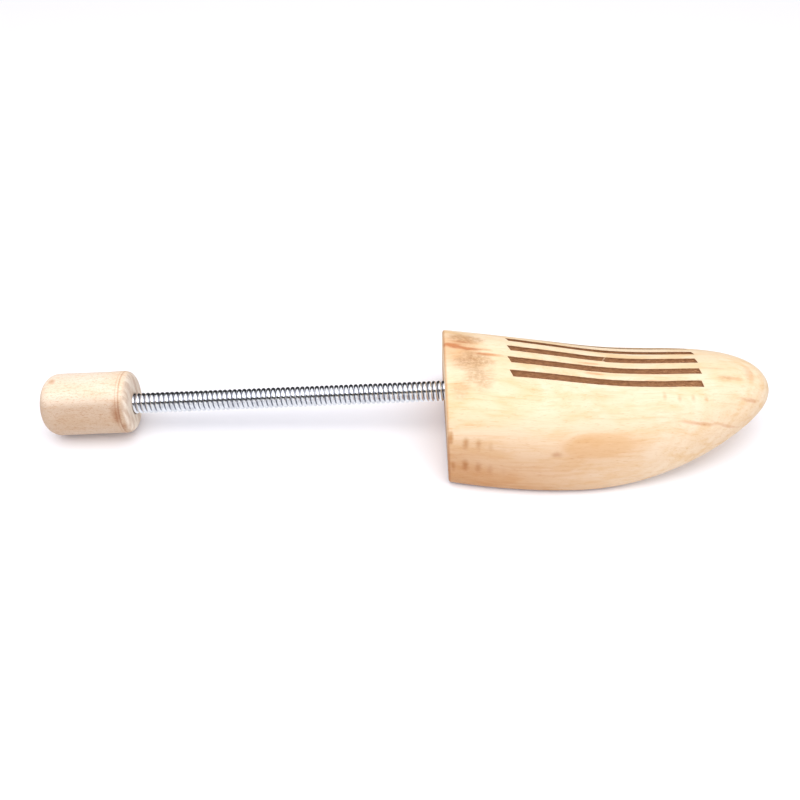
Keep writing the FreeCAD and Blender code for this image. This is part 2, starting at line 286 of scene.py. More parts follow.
def crown_slope(x, y):
    heights = []
    for side in (-1.0, 1.0):
        places = np.array([y + side])
        _, t, poles = side_places(v_of(np.array([x])), places)
        heights.append(on_curve(poles, t)[0, 2])
    return (heights[1] - heights[0]) / 2


def groove_lines():
    """Lines across the crown: their y, share of depth, nearest edge's number and its pull."""
    lines = []
    middle_x = sum(GROOVE_ENDS) / 2
    for number, y in enumerate(GROOVE_YS):
        half = GROOVE_WIDTH / 2 * math.cos(math.atan(crown_slope(middle_x, y)))
        for inside, share in WALL:
            lines.append((y - half + inside, share, 2 * number, 1.0 if abs(inside) < 0.4 else 0.5))
        for inside in (1.0, half, 2 * half - 1.0):
            lines.append((y - half + inside, 1.0, 2 * number, 0.0))
        for inside, share in WALL[::-1]:
            lines.append((y + half - inside, share, 2 * number + 1,
                          1.0 if abs(inside) < 0.4 else 0.5))
        if number < len(GROOVE_YS) - 1:
            gap = GROOVE_SPACING - half - 0.45
            for part in (0.25, 0.5, 0.75):
                lines.append((y + half + 0.45 + (gap - half - 0.45) * part, 0.0, 0, 0.0))
    return lines


def length_lines():
    """Places x of the lines round the block, and how far inside the grooves' ends they are."""
    near = [-0.9, -0.45, -0.12, 0.0, 0.07, 0.15, 0.3, 0.5, 0.9, 1.5]
    start, end = GROOVE_ENDS
    xs = [1.2, 1.6, 2.1, 2.8, 3.6]
    xs += list(np.arange(4.5, start - 1.3, 0.9))
    xs += [start + n for n in near]
    xs += list(np.linspace(start + 2.2, end - 2.2, 118))
    xs += [end - n for n in near[::-1]]
    xs += list(np.arange(end + 1.7, 134, 0.9))
    return np.array(xs)


def share_in(inside):
    return np.interp(inside, [p[0] for p in WALL], [p[1] for p in WALL])


def build_block():
    lines = groove_lines()
    line_y = np.array([line[0] for line in lines])
    line_share = np.array([line[1] for line in lines])
    line_edge = np.array([line[2] for line in lines])
    line_pull = np.array([line[3] for line in lines])
    xs = length_lines()
    tip_v = np.linspace(v_of(xs[-1]), SPANS, 64)[1:-1]
    v = np.concatenate((v_of(xs), tip_v))
    xs = np.interp(v, V_TABLE, X_TABLE)
    start, end = GROOVE_ENDS

    # the groove lines' y, kept straight along the grooves and drawn together beyond them
    outer, inner = poles_at(OUTER_SIDE, v), poles_at(INNER_SIDE, v)
    ridge, outer_edge, inner_edge = outer[:, 3, 1], outer[:, 0, 1], inner[:, 0, 1]
    y = np.repeat(line_y[None, :], len(v), 0)
    for freeze, beyond in ((start - 1.0, xs < start - 1.0), (end + 1.0, xs > end + 1.0)):
        v_freeze = np.array([float(v_of(freeze))])
        ridge_there = poles_at(OUTER_SIDE, v_freeze)[0, 3, 1]
        outer_there = poles_at(OUTER_SIDE, v_freeze)[0, 0, 1]
        inner_there = poles_at(INNER_SIDE, v_freeze)[0, 0, 1]
        to_outer = line_y < ridge_there
        part = np.where(to_outer, (line_y - ridge_there) / (outer_there - ridge_there),
                        (line_y - ridge_there) / (inner_there - ridge_there))
        edge = np.where(to_outer[None, :], outer_edge[:, None], inner_edge[:, None])
        frozen = ridge[:, None] + part[None, :] * (edge - ridge[:, None])
        y = np.where(beyond[:, None], frozen, y)

    # ragged groove edges
    for number in range(10):
        ragged = (0.05 * wander(xs, 1.3, 40 + number) + 0.035 * wander(xs, 0.8, 60 + number)
                  + 0.07 * wander(xs, 11.0, 80 + number))
        if number == 4:
            ragged = ragged - 0.30 * smoothstep((xs - CHIP_X) / 0.8) * np.exp(
                -np.clip(xs - CHIP_X, 0, None) / 16)
        inside = smoothstep((xs - start) / 2) * smoothstep((end - xs) / 2)
        y = y + np.where(line_edge == number, line_pull, 0.0)[None, :] * (ragged * inside)[:, None]

    # groove ends lean: move the surface lines along x near them
    knots_y, lean_start, lean_end = [], [], []
    for number, groove_y in enumerate(GROOVE_YS):
        group = line_y[np.abs(line_y - groove_y) < 1.75]
        half = (group.max() - group.min()) / 2
        for side in (-1, 1):
            knots_y.append(groove_y + side * half)
            lean_start.append(-0.5 * side * half + 0.35 * START_SHIFTS[number])
            lean_end.append(-0.22 * side * half + 0.35 * END_SHIFTS[number])
    shift = (np.interp(line_y, knots_y, lean_start)[None, :]
             * np.clip(1.5 - np.abs(xs - start) / 6, 0, 1)[:, None]
             + np.interp(line_y, knots_y, lean_end)[None, :]
             * np.clip(1.5 - np.abs(xs - end) / 6, 0, 1)[:, None])
    line_v = np.where(np.abs(shift) > 0, v_of(xs[:, None] + shift), v[:, None])
    _, t, poles = side_places(line_v, y)
    crown = on_curve(poles, t)

    # sink the grooves
    depth_x = np.minimum(share_in(xs - start), share_in(end - xs))
    share = np.minimum(line_share[None, :], depth_x[:, None])
    chip = np.exp(-((xs[:, None] - CHIP_X - 0.6 * (y - GROOVE_YS[2])) / 0.85) ** 2)
    chip = chip * (np.abs(y - GROOVE_YS[2]) < 1.9)
    share = share * (1 - 0.86 * chip)
    rough = 0.05 * wander(xs * 7.3, 4.0, 7)[:, None] * wander(line_y * 31, 17.0, 8)[None, :]
    crown[..., 2] -= GROOVE_DEPTH * share * (1 + rough)

    # the sides between the grooves and the widest line
    def side(strip, steps, y_first):
        poles_here = poles_at(strip, v)
        _, t_first, _ = side_places(v, y_first)
        parts = np.linspace(0, 1, steps + 1)[:-1]
        return on_curve(poles_here[:, None], t_first[:, None] * parts[None, :])

    outer_side = side(OUTER_SIDE, 60, y[:, 0])
    inner_side = side(INNER_SIDE, 46, y[:, -1])[:, ::-1]

    def corner(strip):
        poles_here = poles_at(strip, v)
        widest, floor = poles_here[:, 0, 2], poles_here[:, 1, 2]
        t_ground = np.where(floor < 0, 1 - np.sqrt(np.clip(-floor / (widest - floor), 0, 1)), 1.0)
        t_ground = np.minimum(t_ground, 0.94)
        parts = np.concatenate((t_ground[:, None] * np.arange(1, 10)[None, :] / 9,
                                t_ground[:, None] + (1 - t_ground)[:, None] * np.array(
                                    (0.12, 0.5, 1.0))[None, :]), 1)
        return on_curve(poles_here[:, None], parts)

    inner_corner, outer_corner = corner(INNER_CORNER), corner(OUTER_CORNER)
    across = np.linspace(0, 1, 16)[1:-1][None, :, None]
    sole = inner_corner[:, -1:] * (1 - across) + outer_corner[:, -1:] * across
    rings = np.concatenate((outer_side, crown, inner_side, inner_corner, sole,
                            outer_corner[:, ::-1]), 1)
    rings[..., 2] = np.maximum(rings[..., 2], 0.0)
    ring_share = np.concatenate((np.zeros(outer_side.shape[:2]), share,
                                 np.zeros((len(v), rings.shape[1] - outer_side.shape[1]
                                           - share.shape[1]))), 1)

    # lean the lines near the back to the tilt of the back face
    tilt = math.tan(SLOPE)
    fade = np.clip(1 - (xs - BACK_ROUND) / 18, 0, 1)[:, None]
    rings[..., 0] -= (rings[..., 2] - MOUTH[2]) * tilt * fade

    # rounding, back face, bore
    count = rings.shape[1]
    base = rings[0]
    towards = np.roll(base, -1, 0) - np.roll(base, 1, 0)
    towards /= np.linalg.norm(towards, axis=1)[:, None]
    axis = np.array((math.cos(SLOPE), 0.0, math.sin(SLOPE)))
    inwards = np.cross(towards, axis)
    middle = base.mean(0)
    if np.sum((middle - base) * inwards) < 0:
        inwards = -inwards
    back_rings = []
    for angle in np.radians((12, 25, 38, 51, 64, 77, 90)):
        back_rings.append(base - axis * BACK_ROUND * math.sin(angle)
                          + inwards * BACK_ROUND * (1 - math.cos(angle)))
    rim = back_rings[-1]
    centre = np.array((0.0, 0.0, MOUTH[2]))
    spoke = rim - centre
    spoke -= np.outer(spoke @ axis, axis)
    spoke /= np.linalg.norm(spoke, axis=1)[:, None]
    mouth_ring = centre + spoke * (BORE_RADIUS + 0.3)
    for part in (0.12, 0.27, 0.42, 0.57, 0.72, 0.86, 0.96, 1.0):
        back_rings.append(rim + (mouth_ring - rim) * part)
    for distance in (0.25, 2.0, 6.0, 10.0, BORE_DEPTH - 0.2, BORE_DEPTH):
        back_rings.append(centre + spoke * BORE_RADIUS + axis * distance)
    back_rings.append(centre + spoke * 1.5 + axis * BORE_DEPTH)

    all_rings = np.concatenate((np.array(back_rings[::-1]), rings))
    points = all_rings.reshape(-1, 3)
    tip = np.array((LENGTH, TOE_OFFSET, TOE_SPRING))
    hub = centre + axis * BORE_DEPTH
    points = np.concatenate((points, tip[None], hub[None])) + np.array((MOUTH[0], MOUTH[1], 0.0))
    faces = band_faces(len(all_rings), count)
    last = (len(all_rings) - 1) * count
    faces += fan_faces(len(points) - 2, last, count)
    faces += [face[::-1] for face in fan_faces(len(points) - 1, 0, count)]
    groove = np.concatenate((np.zeros((len(back_rings), count)), ring_share)).reshape(-1)
    # painted shade mask along the rounded rim of the back face
    painted_rim_shade = np.zeros((len(all_rings), count))
    first_ring = len(back_rings)
    for ring in range(7):
        painted_rim_shade[first_ring - 1 - ring] = math.sin(math.pi * (ring + 1) / 8)
    ends = np.zeros(2)
    return make_piece("toe_block_wood", points, faces, values={
        "groove": np.concatenate((groove, ends)),
        "rim": np.concatenate((painted_rim_shade.reshape(-1), ends)),
    })


toe_block = build_block()

# ---------------------------------------------------------------- heel knob
KNOB_START = 146.8
KNOB_RADIUS, KNOB_LENGTH = 14.65, 41.8
FRONT_DEPTH, FRONT_ROUND, REAR_ROUND = 3.0, 4.0, 7.0
BORE_DROP = 1.3                 # the knob's middle lies this far above the spring's axis


def arc(centre, radius, start, end, steps):
    """Points (distance, radius) on an arc, angles in degrees from the knob's axis direction."""
    angles = np.radians(np.linspace(start, end, steps))
    return [(centre[0] + radius * math.cos(a), centre[1] + radius * math.sin(a)) for a in angles]


def knob_outline():
    """Profile from the bore's mouth over the outside to the rear: (distance, radius)."""
    outline = [(BORE_DEPTH, 1.2), (BORE_DEPTH, BORE_RADIUS - 0.2), (BORE_DEPTH - 0.2, BORE_RADIUS)]
    outline += [(d, BORE_RADIUS) for d in (10.0, 5.0, 1.5, 0.3)]
    outline += [(0.08, BORE_RADIUS + 0.1), (0.0, BORE_RADIUS + 0.35)]
    reach = math.sqrt(FRONT_ROUND ** 2 - (FRONT_ROUND - FRONT_DEPTH) ** 2)
    dome = math.degrees(math.atan2(reach, FRONT_ROUND - FRONT_DEPTH))
    outline += [(0.0, r) for r in np.arange(5.6, KNOB_RADIUS - reach - 0.3, 0.6)]
    outline += arc((FRONT_ROUND, KNOB_RADIUS - reach - 0.12), FRONT_ROUND, 180, 180 - dome, 18)
    # a fine turned line where the dome meets the side
    outline += [(FRONT_DEPTH + d, KNOB_RADIUS - depth) for d, depth in (
        (0.07, 0.2), (0.2, 0.23), (0.34, 0.18), (0.46, 0.06), (0.6, 0.0), (1.0, 0.0))]
    outline += [(d, KNOB_RADIUS) for d in np.arange(4.6, KNOB_LENGTH - REAR_ROUND - 0.4, 0.7)]
    outline += arc((KNOB_LENGTH - REAR_ROUND, KNOB_RADIUS - REAR_ROUND), REAR_ROUND, 90, 0, 34)
    outline += [(KNOB_LENGTH, 2.2), (KNOB_LENGTH - 0.02, 1.4), (KNOB_LENGTH - 0.12, 0.8)]
    return np.array(outline)


def turn(name, outline, steps, start, hubs, ripple=None):
    """Lathe piece on the spring's axis from a profile of (distance, radius)."""
    angles = np.arange(steps) * 2 * math.pi / steps
    distance, radius = outline[:, 0], outline[:, 1]
    spread = radius[:, None] * np.ones(steps)[None, :]
    # the bore is on the spring's axis, the outside on the knob's own
    rise = BORE_DROP * smoothstep((radius - 5.2) / 6)
    rise[distance > 4] = BORE_DROP
    rise[:np.argmin(distance)] = 0.0
    if ripple is not None:
        spread = spread + ripple(distance[:, None], radius[:, None], angles[None, :])
    points = by_spring(start + distance[:, None] + 0 * spread,
                       rise[:, None] + spread * np.cos(angles),
                       spread * np.sin(angles)).reshape(-1, 3)
    ends = by_spring(np.array(hubs) + start, np.array((rise[0], rise[-1])))
    faces = band_faces(len(outline), steps)
    faces += [face[::-1] for face in fan_faces(len(points), 0, steps)]
    faces += fan_faces(len(points) + 1, (len(outline) - 1) * steps, steps)
    return make_piece(name, np.concatenate((points, ends)), faces)


def knob_ripple(distance, radius, angle):
    """Hand-sanded surface: the outside is never quite round."""
    outside = smoothstep((radius - 8) / 4) * smoothstep((distance - 4) / 4)
    waves = (0.035 * np.sin(3 * angle + 0.11 * distance) + 0.03 * np.sin(2 * angle - 0.2 * distance)
             + 0.02 * np.sin(7 * angle + 0.5 * distance))
    return (waves - 0.05) * outside


heel_knob = turn("heel_knob_wood", knob_outline(), 192, KNOB_START,
                 (BORE_DEPTH, KNOB_LENGTH - 0.14), knob_ripple)

# ---------------------------------------------------------------- spring
PITCH = 2.3
COIL_RADIUS = 3.8
WIRE_RADIUS = 1.05
STEPS_PER_TURN = 48
WIRE_SIDES = 14
SEAM_PHASE = 0.375              # share of a turn: seams lie at the back, below the spring's axis


def seam_near(distance):
    """The nearest place along the spring where the wire is at the back and below."""
    return (round(distance / PITCH - SEAM_PHASE) + SEAM_PHASE) * PITCH


def coil_piece(name, start, end):
    """Closed tube that follows the spring's helix between two places along it."""
    steps = max(2, round((end - start) / PITCH * STEPS_PER_TURN))
    places = np.linspace(start, end, steps + 1)
    phase = 2 * math.pi * places / PITCH
    radial = np.cos(phase)[:, None] * ABOVE + np.sin(phase)[:, None] * INWARD
    lead = PITCH / (2 * math.pi * COIL_RADIUS)
    tangent = -np.sin(phase)[:, None] * ABOVE + np.cos(phase)[:, None] * INWARD + lead * ALONG
    tangent /= np.linalg.norm(tangent, axis=1)[:, None]
    binormal = np.cross(tangent, radial)
    centres = by_spring(places) + radial * COIL_RADIUS
    around = np.arange(WIRE_SIDES) * 2 * math.pi / WIRE_SIDES
    points = (centres[:, None] + WIRE_RADIUS * (np.cos(around)[None, :, None] * radial[:, None]
              + np.sin(around)[None, :, None] * binormal[:, None])).reshape(-1, 3)
    faces = band_faces(steps + 1, WIRE_SIDES)
    flat = (len(faces), len(faces) + 1)
    faces.append(list(range(WIRE_SIDES))[::-1])
    faces.append([steps * WIRE_SIDES + n for n in range(WIRE_SIDES)])
    return make_piece(name, points, faces, flat)


LEAD_IN, LIFT, SWING, SQUEEZE = 3.0, 14.0, 11.0, 22.0
SPRING_FREE, SPRING_SEAT = 146.8, 13.0
BODIES = ["toe_body"] + ["spring_body_%02d" % n for n in range(2, 10)] + ["knob_body"]

spring_pieces = []


def add_coils(kind, number, start, end):
    piece = coil_piece("%s_coils_%d" % (kind, number), start, end)
    spring_pieces.append(piece)
    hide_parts("coil_spring_%02d" % len(spring_pieces))
    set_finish(piece, "spring_steel")
    return piece


seam = -SPRING_SEAT
for zone in range(3):
    base = LEAD_IN + zone * (LIFT + SWING + SQUEEZE)
    bodies = BODIES[3 * zone:3 * zone + 4]
    lift_end = seam_near(base + LIFT)
    swing_end = seam_near(base + LIFT + SWING)
    squeeze_end = seam_near(base + LIFT + SWING + SQUEEZE)
    piece = add_coils("lift", zone + 1, seam, lift_end)
    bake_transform(piece)
    piece = add_coils("swing", zone + 1, lift_end, swing_end)
    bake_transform(piece)
    piece = add_coils("squeeze", zone + 1, swing_end, squeeze_end)
    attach(piece, bodies[2])
    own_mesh(piece)
    seam = squeeze_end
piece = add_coils("tail", 1, seam, SPRING_FREE + SPRING_SEAT)
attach(piece, "knob_body")

# ---------------------------------------------------------------- bodies of the other pieces
for piece, body, node, slot in (
        (toe_block, "toe_body", "toe_block", "toe_wood"),
        (heel_knob, "knob_body", "heel_knob", "knob_wood")):
    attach(piece, body)
    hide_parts(node)
    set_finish(piece, slot)


# ---------------------------------------------------------------- materials
def linear(red, green, blue):
    """Shader colour from 0-255 display values."""
    def one(value):
        value /= 255
        return value / 12.92 if value <= 0.04045 else ((value + 0.055) / 1.055) ** 2.4
    return (one(red), one(green), one(blue), 1.0)


class Finish:
    """A node material, built by short calls that return output sockets."""

    def __init__(self, name):
        self.material = bpy.data.materials.new(name)
        self.material.use_nodes = True
        self.tree = self.material.node_tree
        self.shader = self.tree.nodes["Principled BSDF"]
        coordinates = self.tree.nodes.new("ShaderNodeTexCoord").outputs["Object"]
        self.place = self.vector("SCALE", coordinates, scale=1 / MM)

    def node(self, kind, values, **settings):
        made = self.tree.nodes.new(kind)
        for key, value in settings.items():
            setattr(made, key, value)
        for key, value in values.items():
            if isinstance(value, bpy.types.NodeSocket):
                self.tree.links.new(value, made.inputs[key])
            else:
                made.inputs[key].default_value = value
        return made

    def math(self, operation, a, b=0.0, clamp=False):
        return self.node("ShaderNodeMath", {0: a, 1: b}, operation=operation,
                         use_clamp=clamp).outputs[0]

    def vector(self, operation, a, b=(0.0, 0.0, 0.0), scale=None):
        values = {0: a, "Scale": scale} if scale is not None else {0: a, 1: b}
        made = self.node("ShaderNodeVectorMath", values, operation=operation)
        return made.outputs["Value" if operation in ("LENGTH", "DOT_PRODUCT") else "Vector"]

    def attribute(self, name):
        return self.node("ShaderNodeAttribute", {}, attribute_name=name).outputs["Fac"]

    def steps(self, value, low, high, to_low=0.0, to_high=1.0):
        """Smooth change from one level to another while value goes from low to high."""
        return self.node("ShaderNodeMapRange", {
            "Value": value, "From Min": low, "From Max": high, "To Min": to_low,
            "To Max": to_high}, interpolation_type="SMOOTHSTEP").outputs["Result"]

    def noise(self, scale, detail=2.0, roughness=0.5, offset=0.0, point=None):
        """Noise with this many features per millimetre along x, y and z."""
        point = self.place if point is None else point
        point = self.vector("MULTIPLY", point, scale)
        point = self.vector("ADD", point, (offset, 1.7 * offset, -0.6 * offset))
        return self.node("ShaderNodeTexNoise", {
            "Vector": point, "Scale": 1.0, "Detail": detail, "Roughness": roughness},
            noise_dimensions="3D").outputs["Fac"]

    def spot(self, centre, radii, softness=0.6, wobble=0.35, cells=0.12, turn=0.0):
        """Mask of an uneven blot: 1 within it, 0 outside."""
        offset = self.vector("SUBTRACT", self.place, centre)
        if turn:
            offset = self.node("ShaderNodeVectorRotate", {
                "Vector": offset, "Angle": math.radians(turn)},
                rotation_type="Y_AXIS").outputs["Vector"]
        offset = self.vector("DIVIDE", offset, radii)
        distance = self.vector("LENGTH", offset)
        if wobble:
            uneven = self.noise((cells, 2.5 * cells, 2.5 * cells), 3.0, 0.6, offset=sum(centre))
            uneven = self.math("MULTIPLY", self.math("SUBTRACT", uneven, 0.5), 2 * wobble)
            distance = self.math("ADD", distance, uneven)
        return self.steps(distance, 1.0, 1.0 - softness)

    def mix(self, share, a, b, kind="MIX"):
        made = self.node("ShaderNodeMix", {}, data_type="RGBA", blend_type=kind)
        for index, value in ((0, share), (6, a), (7, b)):
            if isinstance(value, bpy.types.NodeSocket):
                self.tree.links.new(value, made.inputs[index])
            else:
                made.inputs[index].default_value = value
        return made.outputs[2]

    def stain(self, colour, share, strength, tint):
        """Multiplies a tint into the colour where share is 1."""
        share = self.math("MULTIPLY", share, strength)
        return self.mix(share, colour, tint, "MULTIPLY")

    def bump(self, height, distance, strength=1.0, onto=None):
        values = {"Height": height, "Distance": distance * MM, "Strength": strength}
        if onto is not None:
            values["Normal"] = onto
        return self.node("ShaderNodeBump", values).outputs["Normal"]

    def set(self, **values):
        for key, value in values.items():
            key = key.replace("_", " ").title().replace("Ior", "IOR")
            if isinstance(value, bpy.types.NodeSocket):
                self.tree.links.new(value, self.shader.inputs[key])
            else:
                self.shader.inputs[key].default_value = value
        return self.material

    def total(self, *parts):
        """Sum of (socket, weight) pairs."""
        result = 0.0
        for socket, weight in parts:
            result = self.math("ADD", self.math("MULTIPLY", socket, weight), result)
        return result


def toe_wood():
    """Bare, sanded pale wood with scorched grooves."""
    finish = Finish("toe_wood")
    sway = finish.node("ShaderNodeTexNoise", {
        "Vector": finish.vector("SCALE", finish.place, scale=0.02), "Scale": 1.0, "Detail": 1.0},
        noise_dimensions="3D").outputs["Color"]
    sway = finish.vector("SUBTRACT", sway, (0.5, 0.5, 0.5))
    sway = finish.vector("MULTIPLY", sway, (0.0, 9.0, 9.0))
    grain_place = finish.vector("ADD", finish.place, sway)

    # growth rings about a line far behind the inner side of the block
    from_pith = finish.vector("MULTIPLY", finish.vector(
        "SUBTRACT", grain_place, (0.0, 24.0, -28.0)), (0.03, 1.0, 1.0))
    figure = finish.spot((86.0, -32.0, 21.5), (26.0, 14.0, 7.0), 0.6, 0.15, 0.05)
    ring = finish.math("ADD", finish.vector("LENGTH", from_pith),
                       finish.math("MULTIPLY", figure, 2.2))
    rings = finish.node("ShaderNodeTexNoise", {"W": finish.math("MULTIPLY", ring, 0.55),
                                               "Scale": 1.0, "Detail": 2.5, "Roughness": 0.55},
                        noise_dimensions="1D").outputs["Fac"]
    broad = finish.noise((0.012, 0.05, 0.05), 2.0, 0.5, 3.1, grain_place)
    streak = finish.noise((0.02, 0.75, 0.75), 3.0, 0.6, 11.0, grain_place)
    fibre = finish.noise((0.12, 4.2, 4.2), 2.0, 0.65, 5.0, grain_place)
    fleck = finish.noise((0.35, 2.4, 2.4), 1.0, 0.5, 23.0, grain_place)

    colour = finish.mix(finish.steps(rings, 0.28, 0.76), linear(246, 227, 195),
                        linear(242, 219, 181))
    colour = finish.mix(finish.steps(broad, 0.38, 0.66, 0.0, 0.3), colour,
                        linear(236, 206, 163))
    blotch = finish.noise((0.05, 0.16, 0.16), 3.0, 0.6, 61.0, grain_place)
    colour = finish.stain(colour, finish.steps(blotch, 0.42, 0.7), 0.55, linear(245, 226, 192))
    colour = finish.stain(colour, finish.steps(streak, 0.48, 0.74), 0.4, linear(241, 220, 190))
    colour = finish.stain(colour, finish.steps(fibre, 0.5, 0.8), 0.5, linear(238, 218, 190))
    colour = finish.stain(colour, finish.steps(fleck, 0.62, 0.75), 0.35, linear(226, 196, 160))

    # painted shade: tan low on the outer side, fading out towards the toe
    split = finish.node("ShaderNodeSeparateXYZ", {"Vector": grain_place}).outputs
    painted_low_shade = finish.math("MULTIPLY", finish.steps(split["Z"], 36.0, 6.0),
                           finish.steps(split["X"], 128.0, 22.0))
    colour = finish.stain(colour, painted_low_shade, 1.0, linear(218, 184, 150))
    # painted shade: greyer on the lower sides, darker towards the floor
    side = finish.steps(split["Z"], 38.0, 14.0)
    colour = finish.stain(colour, side, 1.0, linear(233, 229, 231))
    # darker wood at the top of the back end
    colour = finish.stain(colour, finish.spot((22.0, 4.0, 48.0), (17.0, 17.0, 10.0), 0.9, 0.2, 0.1),
                          1.0, linear(236, 214, 192))
    # the darker oval figure on the outer side, with its small knot
    colour = finish.stain(colour, figure, 0.65, linear(243, 217, 182))
    colour = finish.stain(colour, finish.spot((66.0, -35.0, 19.4), (4.2, 3.4, 1.7), 1.0, 0.4, 0.3),
                          0.5, linear(206, 158, 112))
    # reddish streaks
    reds = (
        ((20.0, 6.0, 49.0), (8.0, 1.9, 4.0), 0.95, 0.0),
        ((27.5, 4.9, 47.8), (9.0, 1.3, 4.0), 0.9, 0.0),
        ((36.5, 2.6, 46.0), (10.0, 1.2, 4.0), 0.85, 0.0),
        ((25.0, 8.6, 48.4), (9.0, 1.2, 4.0), 0.5, 0.0),
        ((35.0, 5.2, 46.8), (7.0, 0.9, 4.0), 0.45, 0.0),
        ((84.5, 4.2, 38.8), (8.0, 1.2, 3.0), 0.55, 0.0),
        ((85.5, -1.7, 38.0), (7.5, 1.0, 3.0), 0.6, 0.0),
        ((111.9, -4.0, 34.9), (5.0, 0.9, 3.0), 0.45, 0.0),
        ((157.8, 1.7, 33.9), (3.6, 6.5, 5.0), 0.3, 0.0),
        ((156.5, -9.4, 28.3), (9.0, 2.4, 1.1), 0.55, -20.0),
        ((131.5, -21.7, 25.7), (12.0, 4.0, 1.0), 0.5, -9.0),
        ((144.5, -19.3, 22.4), (12.0, 5.0, 0.9), 0.4, -24.0),
        ((149.0, -2.0, 35.2), (7.0, 1.4, 3.0), 0.35, 0.0),
        ((141.0, 3.0, 36.0), (9.0, 1.0, 3.0), 0.25, 0.0),
    )
    for centre, radii, strength, turned in reds:
        colour = finish.stain(colour, finish.spot(centre, radii, 0.75, 0.5, 0.2, turned),
                              strength, linear(222, 172, 136))
    # grey smudges by the back face
    greys = (
        ((27.0, 11.0, 48.5), (12.0, 5.0, 6.0), 0.8),
        ((30.0, -1.5, 45.5), (12.0, 8.0, 6.0), 0.9),
        ((32.0, -9.0, 42.0), (9.0, 9.0, 7.0), 0.7),
        ((24.0, -14.0, 40.5), (6.0, 8.0, 7.0), 0.4),
        ((145.0, -2.3, 35.5), (6.0, 2.2, 3.0), 0.35),
    )
    for centre, radii, strength in greys:
        mottled = finish.math("MULTIPLY", finish.spot(centre, radii, 0.8, 0.5, 0.12), finish.steps(
            finish.noise((0.5, 0.9, 0.9), 3.0, 0.75, centre[0]), 0.15, 0.66))
        colour = finish.stain(colour, mottled, strength, linear(200, 174, 148))
    # spots in columns low on the back of the outer side, and a row of faint dots by the grooves
    spots = [((19.4, -28.4, 24.0), 1.8, 6.0, 0.9), ((20.6, -35.2, 12.2), 1.6, 3.6, 0.6),
             ((25.9, -30.6, 22.4), 2.3, 4.2, 0.75), ((25.9, -35.3, 13.2), 2.4, 3.8, 0.8),
             ((31.6, -31.0, 22.2), 2.0, 3.6, 0.55), ((31.6, -35.7, 12.8), 2.2, 3.6, 0.6),
             ((36.9, -31.6, 21.6), 1.9, 3.0, 0.3), ((37.0, -36.2, 12.4), 2.2, 3.2, 0.35),
             ((42.5, -32.4, 20.6), 1.9, 2.6, 0.12), ((42.8, -36.6, 12.0), 2.0, 2.8, 0.15)]
    spots += [((x, y, z), 1.5, 1.4, 0.42) for x, y, z in (
        (116.0, -11.7, 33.2), (122.6, -12.8, 32.7), (128.9, -12.5, 32.7), (134.8, -12.7, 32.2))]
    for centre, wide, tall, strength in spots:
        colour = finish.stain(colour, finish.spot(centre, (wide, 4.0, tall), 1.0, 0.35, 0.3),
                              strength, linear(214, 176, 124))

    # painted shade where the wood stands on the ground: darker near the floor contact
    painted_contact_shade = finish.steps(finish.node("ShaderNodeSeparateXYZ", {
        "Vector": finish.place}).outputs["Z"], 2.2, 0.2)
    colour = finish.stain(colour, painted_contact_shade, 0.85, linear(150, 104, 72))

    # painted shade along the rounded rim of the back face
    rim = finish.attribute("rim")
    colour = finish.stain(colour, rim, 0.5, linear(205, 160, 118))

    # scorched grooves: charred fibres, lighter and more torn towards the toe end
    groove = finish.steps(finish.attribute("groove"), 0.05, 0.35)
    x = finish.node("ShaderNodeSeparateXYZ", {"Vector": finish.place}).outputs["X"]
    towards_toe = finish.steps(x, 95.0, 137.0)
    char = finish.noise((0.35, 1.6, 1.6), 3.0, 0.65, 31.0)
    torn = finish.noise((0.45, 2.6, 2.6), 2.0, 0.7, 47.0,
                        finish.node("ShaderNodeVectorRotate", {
                            "Vector": finish.place, "Angle": math.radians(38)},
                            rotation_type="Z_AXIS").outputs["Vector"])
    burnt = finish.mix(finish.steps(char, 0.3, 0.72), linear(122, 78, 44), linear(160, 112, 72))
    burnt = finish.mix(finish.math("MULTIPLY", finish.steps(torn, 0.52, 0.7),
                                   finish.math("ADD", finish.math(
                                       "MULTIPLY", towards_toe, 0.75), 0.08)),
                       burnt, linear(205, 152, 104))
    colour = finish.mix(groove, colour, burnt)

    relief = finish.total((fibre, 0.5), (fleck, 0.3), (streak, 0.4))
    normal = finish.bump(relief, 0.035, 0.7)
    groove_relief = finish.math("MULTIPLY", finish.math("ADD", torn, char), groove)
    normal = finish.bump(groove_relief, 0.22, 0.9, normal)
    roughness = finish.math("ADD", finish.steps(streak, 0.3, 0.7, 0.5, 0.62),
                            finish.math("MULTIPLY", groove, 0.3), clamp=True)
    return finish.set(base_color=colour, roughness=roughness, normal=normal)


